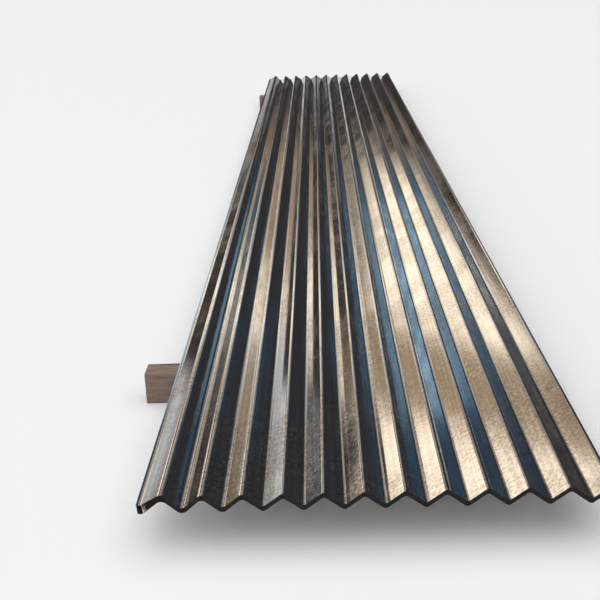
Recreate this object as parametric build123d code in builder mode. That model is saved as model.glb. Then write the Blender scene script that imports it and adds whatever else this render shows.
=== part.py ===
from build123d import *
from collections import namedtuple
from math import asin, atan2, cos, hypot, radians, sin, tan
import os

# Eight corrugated steel roofing sheets nested in one pile, lying on two timber bearers.
# Millimetres. X runs across the waves, +Y runs along the sheets away from the viewer, +Z is up.
# The origin is the middle of the whole footprint, on the floor.

# Size of one sheet
sheet_length = 6000.0
wave_pitch = 76.0
wave_depth = 25.8
crest_count = 12
steel_gauge = 0.8
bend_radius = 7.0

# The first waves at the left edge have rounder bends
left_bend_radius = 13.0
rounder_bends = 5

# The right edge stops part way down the slope after the last crest
right_lip_reach = 16.0

# The left edge of the lower sheets runs down to a short curled foot
foot_reach = 39.0
foot_curl = 9.0
lip_bend_radius = 8.0
foot_rise_angle = 15.0

# The left edge of the upper sheets is sprung up and opened out flatter
edge_lift = 3.0
flat_lip_reach = 41.0
flat_lip_drop = 17.0
flat_lip_curl = 7.0
flat_lip_angle = 20.0

# The pile
lower_sheet_count = 4
upper_sheet_count = 4
nest_clearance = 0.3
seat_clearance = 0.3
slide_step = 0.5
slide_pattern = (3, 2, 2, 1, 2, 1, 1, 0)

# The two timber bearers, standing on edge
bearer_height = 80.0
bearer_width = 65.0
bearer_arris = 2.5
front_bearer_length = 980.0
rear_bearer_length = 925.0
front_bearer_overhang = 90.0
rear_bearer_overhang = 40.0
front_bearer_inset = 646.0
rear_bearer_inset = 665.0

half_gauge = steel_gauge / 2
half_pitch = wave_pitch / 2
centre_depth = wave_depth - steel_gauge

# A bend of the sheet's centre line: its place across the sheet, the level of its highest or
# lowest point, its radius, and 1 for a crest or -1 for a valley
Bend = namedtuple("Bend", "x level radius side")


def bend_centre(bend):
    """Centre of a bend's arc: under a crest, over a valley."""
    return bend.x, bend.level - bend.side * bend.radius


def slope_between(left, right):
    """Angle of the straight slope that joins two neighbouring bends."""
    left_x, left_z = bend_centre(left)
    right_x, right_z = bend_centre(right)
    run = right_x - left_x
    fall = left.side * (left_z - right_z)
    return atan2(fall, run) + asin((left.radius + right.radius) / hypot(run, fall))


def fold_corner(bend, left_slope, right_slope):
    """Where the slopes on both sides of a bend would meet if it were a sharp fold."""
    x, z = bend_centre(bend)
    reach = bend.radius / cos((left_slope + right_slope) / 2)
    lean = (right_slope - left_slope) / 2
    return x + reach * sin(lean), z + bend.side * reach * cos(lean)


def fold_line(bends, left_angle, left_length, right_reach):
    """Corners of the whole centre line, from the left edge to the right edge."""
    slopes = [slope_between(*pair) for pair in zip(bends, bends[1:])]
    slopes = [left_angle] + slopes + [slopes[-1]]
    corners = [fold_corner(bend, *slopes[i : i + 2]) for i, bend in enumerate(bends)]
    first_x, first_z = corners[0]
    last_x, last_z = corners[-1]
    left_tip = (first_x - left_length * cos(left_angle), first_z + left_length * sin(left_angle))
    right_tip = (last_x + right_reach, last_z - right_reach * tan(slopes[-1]))
    return [left_tip] + corners + [right_tip], slopes


def wave_bends(first_level):
    """The bends from the first crest, at x = 0, to the last one."""
    bends = []
    for place in range(2 * crest_count - 1):
        is_crest = place % 2 == 0
        roundness = max(0.0, 1 - place / rounder_bends)
        radius = bend_radius + roundness * (left_bend_radius - bend_radius)
        level = 0.0 if is_crest else -centre_depth
        if place == 0:
            level = first_level
        bends.append(Bend(place * half_pitch, level, radius, 1 if is_crest else -1))
    return bends


# The two shapes of sheet, with the first crest at x = 0
foot = Bend(-foot_reach, -centre_depth, lip_bend_radius, -1)
flat_lip = Bend(-flat_lip_reach, -flat_lip_drop, lip_bend_radius, -1)
lower_bends = [foot] + wave_bends(0.0)
upper_bends = [flat_lip] + wave_bends(edge_lift)
lower_line, lower_slopes = fold_line(
    lower_bends, radians(foot_rise_angle), foot_curl, right_lip_reach
)
upper_line, upper_slopes = fold_line(
    upper_bends, radians(flat_lip_angle), flat_lip_curl, right_lip_reach
)

# Each sheet lies this much higher than the one under it, so that the steepest slopes stay clear
steepest_slope = max(lower_slopes + upper_slopes)
nest_rise = (steel_gauge + nest_clearance) / cos(steepest_slope)
bottom_crest_level = bearer_height + seat_clearance + half_gauge + centre_depth

# Placing everything about the middle of the footprint
widest_left_lip = -min(lower_line[0][0], upper_line[0][0])
left_reach = widest_left_lip + front_bearer_overhang
right_reach = lower_line[-1][0] + half_gauge * sin(lower_slopes[-1])
first_crest_x = (left_reach - right_reach) / 2
slide_middle = slide_step * (max(slide_pattern) + min(slide_pattern)) / 2
front_edge_y = -sheet_length / 2
rear_edge_y = sheet_length / 2

os.makedirs("parts", exist_ok=True)

# The sheets, counted from the bottom of the pile
for layer in range(lower_sheet_count + upper_sheet_count):
    in_lower_group = layer < lower_sheet_count
    centre_line = lower_line if in_lower_group else upper_line
    bends = lower_bends if in_lower_group else upper_bends
    level = bottom_crest_level + layer * nest_rise
    slide = slide_step * slide_pattern[layer % len(slide_pattern)] - slide_middle
    with BuildPart() as sheet:
        with BuildSketch(Plane.XZ.offset(-slide)):
            with BuildLine(Location((first_crest_x, level))):
                FilletPolyline(*centre_line, radius=[bend.radius for bend in bends])
            trace(line_width=steel_gauge)
        extrude(amount=sheet_length / 2, both=True)
    sheet_name = f"sheet_{layer + 1}"
    sheet.part.label = sheet_name
    export_step(sheet.part, f"parts/{sheet_name}.step")

# The two bearers, laid across under both ends of the pile
half_width = bearer_width / 2
bearers = {
    "front_bearer": (
        -left_reach + first_crest_x,
        front_edge_y + front_bearer_inset + half_width,
        front_bearer_length,
    ),
    "rear_bearer": (
        first_crest_x - widest_left_lip - rear_bearer_overhang,
        rear_edge_y - rear_bearer_inset - half_width,
        rear_bearer_length,
    ),
}
for bearer_name, (left_end_x, middle_y, length) in bearers.items():
    with BuildPart() as bearer:
        with BuildSketch(Plane.YZ.offset(left_end_x)):
            with Locations((middle_y, bearer_height / 2)):
                Rectangle(bearer_width, bearer_height)
        extrude(amount=length)
        fillet(bearer.edges().filter_by(Axis.X), radius=bearer_arris)
    bearer.part.label = bearer_name
    export_step(bearer.part, f"parts/{bearer_name}.step")
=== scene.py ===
from collections import namedtuple
from math import asin, atan2, cos, hypot, pi, radians, sin, tan

import bmesh
import bpy
from mathutils import Matrix, Vector, noise


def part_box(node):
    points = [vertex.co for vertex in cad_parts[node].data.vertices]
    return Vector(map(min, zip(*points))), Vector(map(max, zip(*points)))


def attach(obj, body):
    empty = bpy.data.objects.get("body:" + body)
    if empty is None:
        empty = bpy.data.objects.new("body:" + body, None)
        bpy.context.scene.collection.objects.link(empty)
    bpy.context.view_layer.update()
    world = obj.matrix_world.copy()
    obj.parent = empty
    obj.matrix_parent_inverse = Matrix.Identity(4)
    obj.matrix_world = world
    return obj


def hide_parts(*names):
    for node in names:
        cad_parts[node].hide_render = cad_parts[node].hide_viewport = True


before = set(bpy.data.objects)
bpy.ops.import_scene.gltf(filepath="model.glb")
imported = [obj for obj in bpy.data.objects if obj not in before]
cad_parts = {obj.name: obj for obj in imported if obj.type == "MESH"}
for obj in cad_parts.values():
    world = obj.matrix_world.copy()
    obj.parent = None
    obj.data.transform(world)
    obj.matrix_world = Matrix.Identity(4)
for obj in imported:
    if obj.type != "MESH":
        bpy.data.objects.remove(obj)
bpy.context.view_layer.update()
scene = bpy.context.scene


# The photographer's place
# The camera stands 1.6 m in front of the stack's near end, 1.1 m above the floor.
# It looks down along the waves, turned a little to the left and held a little tilted.
film_width = 36.0
view_lens = 59.88
view_place = (-0.042, -4.613, 1.080)
view_yaw = radians(-1.49)
view_pitch = radians(19.86)
view_roll = radians(2.23)

camera_data = bpy.data.cameras.new("camera")
camera_data.lens = view_lens
camera_data.sensor_width = film_width
camera = bpy.data.objects.new("camera", camera_data)
scene.collection.objects.link(camera)
camera.matrix_world = (
    Matrix.Translation(view_place)
    @ Matrix.Rotation(-view_yaw, 4, "Z")
    @ Matrix.Rotation(pi / 2 - view_pitch, 4, "X")
    @ Matrix.Rotation(-view_roll, 4, "Z")
)
scene.camera = camera


# The corrugated sheets
# Each is one long strip of thin zinc-coated steel, rolled into straight slopes with round bends.
# Eight of them lie loose, nested in each other. Each is folded here from flat panels, and then
# every fold is rounded.
pitch = 0.076
depth = 0.0258
crests = 12
gauge = 0.0008
bend_radius = 0.007
left_bend_radius = 0.013
rounder_bends = 5
right_lip = 0.016
foot_reach = 0.039
foot_curl = 0.009
foot_angle = radians(15.0)
lip_bend_radius = 0.008
edge_lift = 0.003
flat_lip_reach = 0.041
flat_lip_drop = 0.017
flat_lip_curl = 0.007
flat_lip_angle = radians(20.0)
sheet_count = 8
centre_depth = depth - gauge

# How finely a sheet is divided, and how near two points are that count as one
bend_steps = 8
length_cuts = 39
same_place = 1e-6

# The slight bow of a sheet: half of its greatest rise, its ups and downs to the metre, and
# which pattern of them it follows
bow = 0.0006
bow_across = 2.2
bow_along = 1.1
bow_pattern = 4.0

# A bend: its place across the sheet, the level of its top or bottom, its radius, and 1 for a
# crest or -1 for a valley
Bend = namedtuple("Bend", "x level radius side")


def slope_between(left, right):
    """Angle of the straight slope that joins two neighbouring bends."""
    run = right.x - left.x
    fall = left.side * (left.level - right.level) - left.radius - right.radius
    return atan2(fall, run) + asin((left.radius + right.radius) / hypot(run, fall))


def fold_corner(bend, left_slope, right_slope):
    """Where the slopes on both sides of a bend would meet if it were a sharp fold."""
    reach = bend.radius / cos((left_slope + right_slope) / 2)
    lean = (right_slope - left_slope) / 2
    rise = reach * cos(lean) - bend.radius
    return bend.x + reach * sin(lean), bend.level + bend.side * rise


def folded_strip(lip, first_level, left_angle, left_length):
    """The bends of one sheet, their slopes and their corners, with the first crest at x = 0."""
    bends = [lip]
    for place in range(2 * crests - 1):
        crest = place % 2 == 0
        roundness = max(0.0, 1 - (place / rounder_bends) ** 2)
        radius = bend_radius + roundness * (left_bend_radius - bend_radius)
        level = 0.0 if crest else -centre_depth
        if place == 0:
            level = first_level
        bends.append(Bend(place * pitch / 2, level, radius, 1 if crest else -1))
    slopes = [slope_between(*pair) for pair in zip(bends, bends[1:])]
    slopes = [left_angle] + slopes + [slopes[-1]]
    corners = [fold_corner(bend, *slopes[i : i + 2]) for i, bend in enumerate(bends)]
    left_x, left_z = corners[0]
    right_x, right_z = corners[-1]
    left_tip = (left_x - left_length * cos(left_angle), left_z + left_length * sin(left_angle))
    right_tip = (right_x + right_lip, right_z - right_lip * tan(slopes[-1]))
    return bends, slopes, [left_tip] + corners + [right_tip]


def part_way(openness, foot_value, flat_value):
    """A value between that of the curled foot, at openness 0, and that of the flat lip, at 1."""
    return foot_value + openness * (flat_value - foot_value)


# From the bottom of the pile up, the left edges fan out from the curled foot to the flat lip
strips = []
for layer in range(sheet_count):
    openness = layer / (sheet_count - 1)
    lip = Bend(
        -part_way(openness, foot_reach, flat_lip_reach),
        -part_way(openness, centre_depth, flat_lip_drop),
        lip_bend_radius,
        -1,
    )
    lip_angle = part_way(openness, foot_angle, flat_lip_angle)
    lip_length = part_way(openness, foot_curl, flat_lip_curl)
    strips.append(folded_strip(lip, part_way(openness, 0.0, edge_lift), lip_angle, lip_length))

# The sheets' right edges line up, so the first crest is found from there
top_slopes, top_corners = strips[-1][1:]
right_tip = top_corners[-1][0] + gauge / 2 * sin(top_slopes[-1])
first_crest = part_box(f"sheet_{sheet_count}")[1].x - right_tip


def finished_object(name, shape):
    """Puts a modelled shape into the scene."""
    mesh = bpy.data.meshes.new(name)
    shape.to_mesh(mesh)
    shape.free()
    made = bpy.data.objects.new(name, mesh)
    scene.collection.objects.link(made)
    return made


def folded_sheet(name, strip, valley_level, front, back):
    """One sheet: panels between the folds, rounded, cut into short lengths and given its gauge."""
    bends, slopes, corners = strip
    crest_level = valley_level + centre_depth
    length = back - front
    sheet = bmesh.new()
    profile = [sheet.verts.new((first_crest + x, front, crest_level + z)) for x, z in corners]
    edges = [sheet.edges.new(pair) for pair in zip(profile, profile[1:])]
    grown = bmesh.ops.extrude_edge_only(sheet, edges=edges)["geom"]
    far = [item for item in grown if isinstance(item, bmesh.types.BMVert)]
    bmesh.ops.translate(sheet, verts=far, vec=(0, length, 0))
    bmesh.ops.recalc_face_normals(sheet, faces=sheet.faces)

    # Every fold gets its round bend
    for bend, (x, z), before, after in zip(bends, corners[1:], slopes, slopes[1:]):
        fold = Vector((first_crest + x, 0, crest_level + z))
        creases = [
            edge
            for edge in sheet.edges
            if all((fold - Vector((v.co.x, 0, v.co.z))).length < same_place for v in edge.verts)
        ]
        bmesh.ops.bevel(
            sheet,
            geom=creases,
            offset=bend.radius * tan((before + after) / 2),
            offset_type="OFFSET",
            affect="EDGES",
            segments=bend_steps,
            profile=0.5,
            material=-1,
        )

    # Short lengths, so that a long sheet can bow a little
    lengthwise = [e for e in sheet.edges if abs(e.verts[0].co.y - e.verts[1].co.y) > length / 2]
    bmesh.ops.subdivide_edges(sheet, edges=lengthwise, cuts=length_cuts)
    for vertex in sheet.verts:
        spot = Vector((vertex.co.x * bow_across, vertex.co.y * bow_along, bow_pattern))
        vertex.co.z += bow * (1 + noise.noise(spot))

    # The slopes look smooth, and the cut edges stay crisp
    for face in sheet.faces:
        face.smooth = True
    for edge in sheet.edges:
        edge.smooth = not edge.is_boundary
    if sum(face.normal.z for face in sheet.faces) < 0:
        bmesh.ops.reverse_faces(sheet, faces=sheet.faces)

    piece = finished_object(name, sheet)
    thickness = piece.modifiers.new("gauge", "SOLIDIFY")
    thickness.thickness = gauge
    thickness.offset = 0.0
    thickness.use_even_offset = True
    thickness.material_offset_rim = 1
    shading = piece.modifiers.new("even shading", "WEIGHTED_NORMAL")
    shading.keep_sharp = True
    return piece


class Reading:
    """One number that varies over a surface. Plain arithmetic on it adds the nodes for it."""

    def __init__(self, finish, socket):
        self.finish = finish
        self.socket = socket

    def math(self, operation, *terms):
        return self.finish.add("ShaderNodeMath", {"operation": operation}, dict(enumerate(terms)))

    def __add__(self, other):
        return self.math("ADD", self, other)

    __radd__ = __add__

    def __sub__(self, other):
        return self.math("SUBTRACT", self, other)

    def __rsub__(self, other):
        return self.math("SUBTRACT", other, self)

    def __mul__(self, other):
        return self.math("MULTIPLY", self, other)

    __rmul__ = __mul__

    def rise(self, low, high):
        """0 below low, 1 above high, and a smooth step between them."""
        settings = {"interpolation_type": "SMOOTHSTEP"}
        return self.finish.add("ShaderNodeMapRange", settings, {0: self, 1: low, 2: high})


class Finish:
    """The node tree of one material, or of the surroundings."""

    def __init__(self, owner):
        owner.use_nodes = True
        self.tree = owner.node_tree
        self.tree.nodes.clear()

    def add(self, kind, settings=None, inputs=None, output=0):
        """Adds a node, sets it, fills or links its inputs, and hands back one of its outputs."""
        node = self.tree.nodes.new(kind)
        for setting, value in (settings or {}).items():
            setattr(node, setting, value)
        for name, value in (inputs or {}).items():
            if isinstance(value, Reading):
                self.tree.links.new(value.socket, node.inputs[name])
            else:
                node.inputs[name].default_value = value
        return Reading(self, node.outputs[output])

    def mix(self, factor, first, second):
        """Blends two colours, which a Mix node takes in its sockets 6 and 7."""
        ends = [end if isinstance(end, Reading) else (*end, 1.0) for end in (first, second)]
        inputs = {0: factor, 6: ends[0], 7: ends[1]}
        return self.add("ShaderNodeMix", {"data_type": "RGBA"}, inputs, output=2)

    def show(self, kind, shader):
        """Ends the tree with its output node."""
        node = self.tree.nodes.new(kind)
        self.tree.links.new(shader.socket, node.inputs["Surface"])


# The zinc: bright where the rolls polished it, dull between, and stained between the spangles
spangles_per_metre = 130.0
bright_zinc = (0.84, 0.83, 0.81)
dull_zinc = (0.70, 0.70, 0.71)
stained_zinc = (0.24, 0.19, 0.15)
dent_depth = 0.00015
streak_depth = 0.00003
ripple_depth = 0.00005

# The bare steel of the cut edges, painted near black and dark grey as painted shade for the dark
# gaps between the nested sheets
cut_shadow = (0.008, 0.008, 0.009)
cut_grey_painted_shade = (0.05, 0.047, 0.044)


def galvanised_finish():
    """Bright zinc coating: mottled spangles, drawn streaks and slow dents along the sheet."""
    material = bpy.data.materials.new("galvanised_steel")
    zinc = Finish(material)
    place = zinc.add("ShaderNodeTexCoord", output="Object")

    # Spangles, the frosty crystals of the zinc, and the fine orange-peel ripple over them
    spangle = zinc.add(
        "ShaderNodeTexVoronoi", {}, {"Vector": place, "Scale": spangles_per_metre}, output="Color"
    )
    shade = zinc.add("ShaderNodeSeparateColor", {}, {"Color": spangle})
    ripple = zinc.add(
        "ShaderNodeTexNoise", {}, {"Vector": place, "Scale": spangles_per_metre, "Detail": 3.0}
    )

    # Streaks left by the rolls, long in the direction of the waves
    along = zinc.add("ShaderNodeMapping", {}, {"Vector": place, "Scale": (150.0, 1.2, 150.0)})
    streak = zinc.add("ShaderNodeTexNoise", {}, {"Vector": along, "Scale": 1.0, "Detail": 4.0})

    # Cloudy patches where the stains show more and the coating is duller
    patch = zinc.add("ShaderNodeTexNoise", {}, {"Vector": place, "Scale": 5.0, "Detail": 2.0})
    clouded = patch.rise(0.4, 0.62)

    # Slow dents that make the reflections wander
    slow = zinc.add("ShaderNodeMapping", {}, {"Vector": place, "Scale": (14.0, 3.5, 14.0)})
    dent = zinc.add("ShaderNodeTexNoise", {}, {"Vector": slow, "Scale": 1.0, "Detail": 1.0})

    speckle = ripple.rise(0.36, 0.6) * 0.7 + shade * 0.3
    colour = zinc.mix(streak.rise(0.35, 0.65), dull_zinc, bright_zinc)
    colour = zinc.mix((1 - speckle) * (0.2 + 0.4 * clouded), colour, stained_zinc)

    bumps = zinc.add(
        "ShaderNodeBump", {}, {"Strength": 1.0, "Distance": dent_depth, "Height": dent}
    )
    for height, distance in ((streak, streak_depth), (ripple, ripple_depth)):
        bumps = zinc.add(
            "ShaderNodeBump",
            {},
            {"Strength": 1.0, "Distance": distance, "Height": height, "Normal": bumps},
        )
    surface = zinc.add(
        "ShaderNodeBsdfPrincipled",
        {},
        {
            "Base Color": colour,
            "Metallic": 1.0,
            "Roughness": 0.05 + 0.04 * shade + 0.05 * clouded,
            "Normal": bumps,
        },
    )
    zinc.show("ShaderNodeOutputMaterial", surface)
    return material


def painted_shade_cut_finish():
    """The cut edges of a sheet: dulled bare steel, painted near black and dark grey as painted
    shade between the nested sheets.
    """
    material = bpy.data.materials.new("sheared_edge_painted_shade")
    cut = Finish(material)
    place = cut.add("ShaderNodeTexCoord", output="Object")
    # A noise mask blends the painted shade between near black and dark grey, and roughens the edge
    # unevenly
    grime_and_painted_shade = cut.add("ShaderNodeTexNoise", {}, {"Vector": place, "Scale": 60.0, "Detail": 3.0})
    surface = cut.add(
        "ShaderNodeBsdfPrincipled",
        {},
        {
            "Base Color": cut.mix(grime_and_painted_shade, cut_shadow, cut_grey_painted_shade),
            "Metallic": 0.6,
            "Roughness": 0.45 + 0.25 * grime_and_painted_shade,
        },
    )
    cut.show("ShaderNodeOutputMaterial", surface)
    return material


zinc_coating = galvanised_finish()
cut_steel_painted_shade = painted_shade_cut_finish()
for layer, strip in enumerate(strips):
    node = f"sheet_{layer + 1}"
    low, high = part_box(node)
    piece = folded_sheet(f"{node}_steel", strip, low.z + gauge / 2, low.y, high.y)
    piece.data.materials.append(zinc_coating)
    # The rim of each sheet takes the cut-edge material, whose near-black colour is painted shade
    piece.data.materials.append(cut_steel_painted_shade)
    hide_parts(node)
    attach(piece, "root")


# The timber bearers
# Two rough-sawn softwood pieces, weathered to a brown grey, that stand on edge across the floor
# and carry the stack, which lies loose on them. Their ends are sawn square and all their edges
# are a little worn.
bearer_wear = 0.0025
arris_steps = 4
pith_depth = 0.02
grain_height = 0.0006
dark_grain = (0.17, 0.11, 0.082)
pale_grain = (0.31, 0.21, 0.155)
ring_brown = (0.14, 0.082, 0.058)
weathered_grey = (0.20, 0.17, 0.15)
check_dark = (0.03, 0.02, 0.016)


def sawn_bearer(name, node):
    """One length of timber with square ends, worn at its arrises."""
    low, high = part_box(node)
    timber = bmesh.new()
    bmesh.ops.create_cube(timber, size=1.0)
    bmesh.ops.scale(timber, vec=high - low, verts=timber.verts)
    bmesh.ops.translate(timber, vec=(low + high) / 2, verts=timber.verts)
    bmesh.ops.bevel(
        timber,
        geom=timber.edges,
        offset=bearer_wear,
        affect="EDGES",
        segments=arris_steps,
        profile=0.5,
        material=-1,
    )
    for face in timber.faces:
        face.smooth = True
    piece = finished_object(name, timber)
    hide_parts(node)
    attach(piece, "root")
    return piece


def timber_finish(node):
    """Weathered softwood: growth rings round the pith, long grain, checks and grey patches."""
    low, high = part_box(node)
    material = bpy.data.materials.new(f"{node}_timber")
    wood = Finish(material)
    place = wood.add("ShaderNodeTexCoord", output="Object")

    # The pith ran just under the piece, so the rings curve across its sawn ends
    pith = (0.0, -(low.y + high.y) / 2, pith_depth)
    centred = wood.add(
        "ShaderNodeMapping", {}, {"Vector": place, "Location": pith, "Scale": (0.1, 1.0, 1.0)}
    )
    rings = wood.add(
        "ShaderNodeTexWave",
        {"wave_type": "RINGS", "rings_direction": "X"},
        {"Vector": centred, "Scale": 60.0, "Distortion": 3.0, "Detail": 2.0, "Detail Scale": 0.5},
        output="Fac",
    )
    along = wood.add("ShaderNodeMapping", {}, {"Vector": place, "Scale": (14.0, 150.0, 150.0)})
    grain = wood.add("ShaderNodeTexNoise", {}, {"Vector": along, "Scale": 1.0, "Detail": 5.0})
    patch = wood.add("ShaderNodeTexNoise", {}, {"Vector": place, "Scale": 45.0, "Detail": 5.0})

    # Checks are the fine dark cracks that open along the grain as timber dries
    cracked = wood.add("ShaderNodeMapping", {}, {"Vector": place, "Scale": (5.0, 90.0, 90.0)})
    check = wood.add("ShaderNodeTexNoise", {}, {"Vector": cracked, "Scale": 1.0, "Detail": 1.0})

    colour = wood.mix(grain.rise(0.3, 0.7), dark_grain, pale_grain)
    colour = wood.mix(rings * 0.3, colour, ring_brown)
    colour = wood.mix(patch.rise(0.42, 0.66) * 0.6, colour, weathered_grey)
    colour = wood.mix(check.rise(0.68, 0.72) * 0.8, colour, check_dark)
    raised = wood.add(
        "ShaderNodeBump", {}, {"Strength": 0.7, "Distance": grain_height, "Height": grain}
    )
    surface = wood.add(
        "ShaderNodeBsdfPrincipled",
        {},
        {"Base Color": colour, "Roughness": 0.75 + 0.15 * grain, "Normal": raised},
    )
    wood.show("ShaderNodeOutputMaterial", surface)
    return material


for node in ("front_bearer", "rear_bearer"):
    piece = sawn_bearer(f"{node}_timber", node)
    piece.data.materials.append(timber_finish(node))


# The studio
# A wide pale floor under a soft white ceiling, pale on the left of the room and grey on the right.
# The far side is dark. Ten soft boards, warm, blue, grey and black, stand before it for the
# bright steel to mirror.
floor_reach = 400.0
floor_white = (0.95, 0.95, 0.95, 1.0)

floor_shape = bmesh.new()
bmesh.ops.create_grid(floor_shape, x_segments=1, y_segments=1, size=floor_reach)
floor = finished_object("floor", floor_shape)
floor_material = bpy.data.materials.new("pale_floor")
pale = Finish(floor_material)
pale_surface = pale.add(
    "ShaderNodeBsdfPrincipled", {}, {"Base Color": floor_white, "Roughness": 0.9}
)
pale.show("ShaderNodeOutputMaterial", pale_surface)
floor.data.materials.append(floor_material)

# Every direction has an azimuth, to the right of the waves, and an elevation above the floor
in_degrees = 180 / pi
scene.world = bpy.data.worlds.new("soft_studio")
air = Finish(scene.world)
direction = air.add("ShaderNodeTexCoord", output="Generated")
x, y, z = (
    air.add("ShaderNodeSeparateXYZ", {}, {"Vector": direction}, output=axis) for axis in "XYZ"
)
azimuth = x.math("ARCTAN2", x, y) * in_degrees
elevation = z.math("ARCSINE", z) * in_degrees

# The room's own tones, and where one passes into the next, in degrees
far_side = (0.035, 0.032, 0.034)
left_side = (0.9, 0.9, 0.9)
right_side = (0.25, 0.25, 0.26)
ceiling = (1.35, 1.35, 1.35)
corner_of_room = (45, 60)
foot_of_wall = (1, 2.5)
top_of_wall = (38, 46)

# The boards: six colours, and for each board its middle, its size, its turn and its colour
board_softness = 1.0
cream = (1.50, 1.28, 1.00)
tan_brown = (0.42, 0.31, 0.20)
pale_grey = (0.70, 0.70, 0.70)
blue = (0.45, 0.70, 0.90)
navy = (0.04, 0.085, 0.14)
black = (0.02, 0.02, 0.02)
boards = (
    ((-23, 16), (28, 13), -15, cream),
    ((-22, 16), (5, 16), 0, tan_brown),
    ((-3, 22), (11, 24), 0, tan_brown),
    ((-3, 20), (11, 4), 0, cream),
    ((-17, 18), (22, 3), -50, black),
    ((-11, 25), (13, 6), -57, pale_grey),
    ((-33, 5), (17, 4), -8, pale_grey),
    ((23, 12), (9, 3), 25, navy),
    ((8, 23), (24, 9), 65, navy),
    ((7, 20), (12, 3), 65, blue),
)


def board(middle, size, turn):
    """Where a soft-edged board hides what is behind it, from its middle, size and turn."""
    aside, upward = azimuth - middle[0], elevation - middle[1]
    along = aside * cos(radians(turn)) + upward * sin(radians(turn))
    across = upward * cos(radians(turn)) - aside * sin(radians(turn))
    inside = []
    for offset, extent in zip((along, across), size):
        edge = (extent / 2 - board_softness, extent / 2 + board_softness)
        inside.append(1.0 - offset.math("ABSOLUTE", offset).rise(*edge))
    return inside[0] * inside[1]


sky = air.mix(azimuth.rise(*corner_of_room), far_side, right_side)
sky = air.mix((-1 * azimuth).rise(*corner_of_room), sky, left_side)
for middle, size, turn, colour in boards:
    sky = air.mix(board(middle, size, turn), sky, colour)
sky = air.mix(elevation.rise(*foot_of_wall), left_side, sky)
sky = air.mix(elevation.rise(*top_of_wall), sky, ceiling)
glow = air.add("ShaderNodeBackground", {}, {"Color": sky, "Strength": 1.0})
air.show("ShaderNodeOutputWorld", glow)

scene.view_settings.view_transform = "Standard"
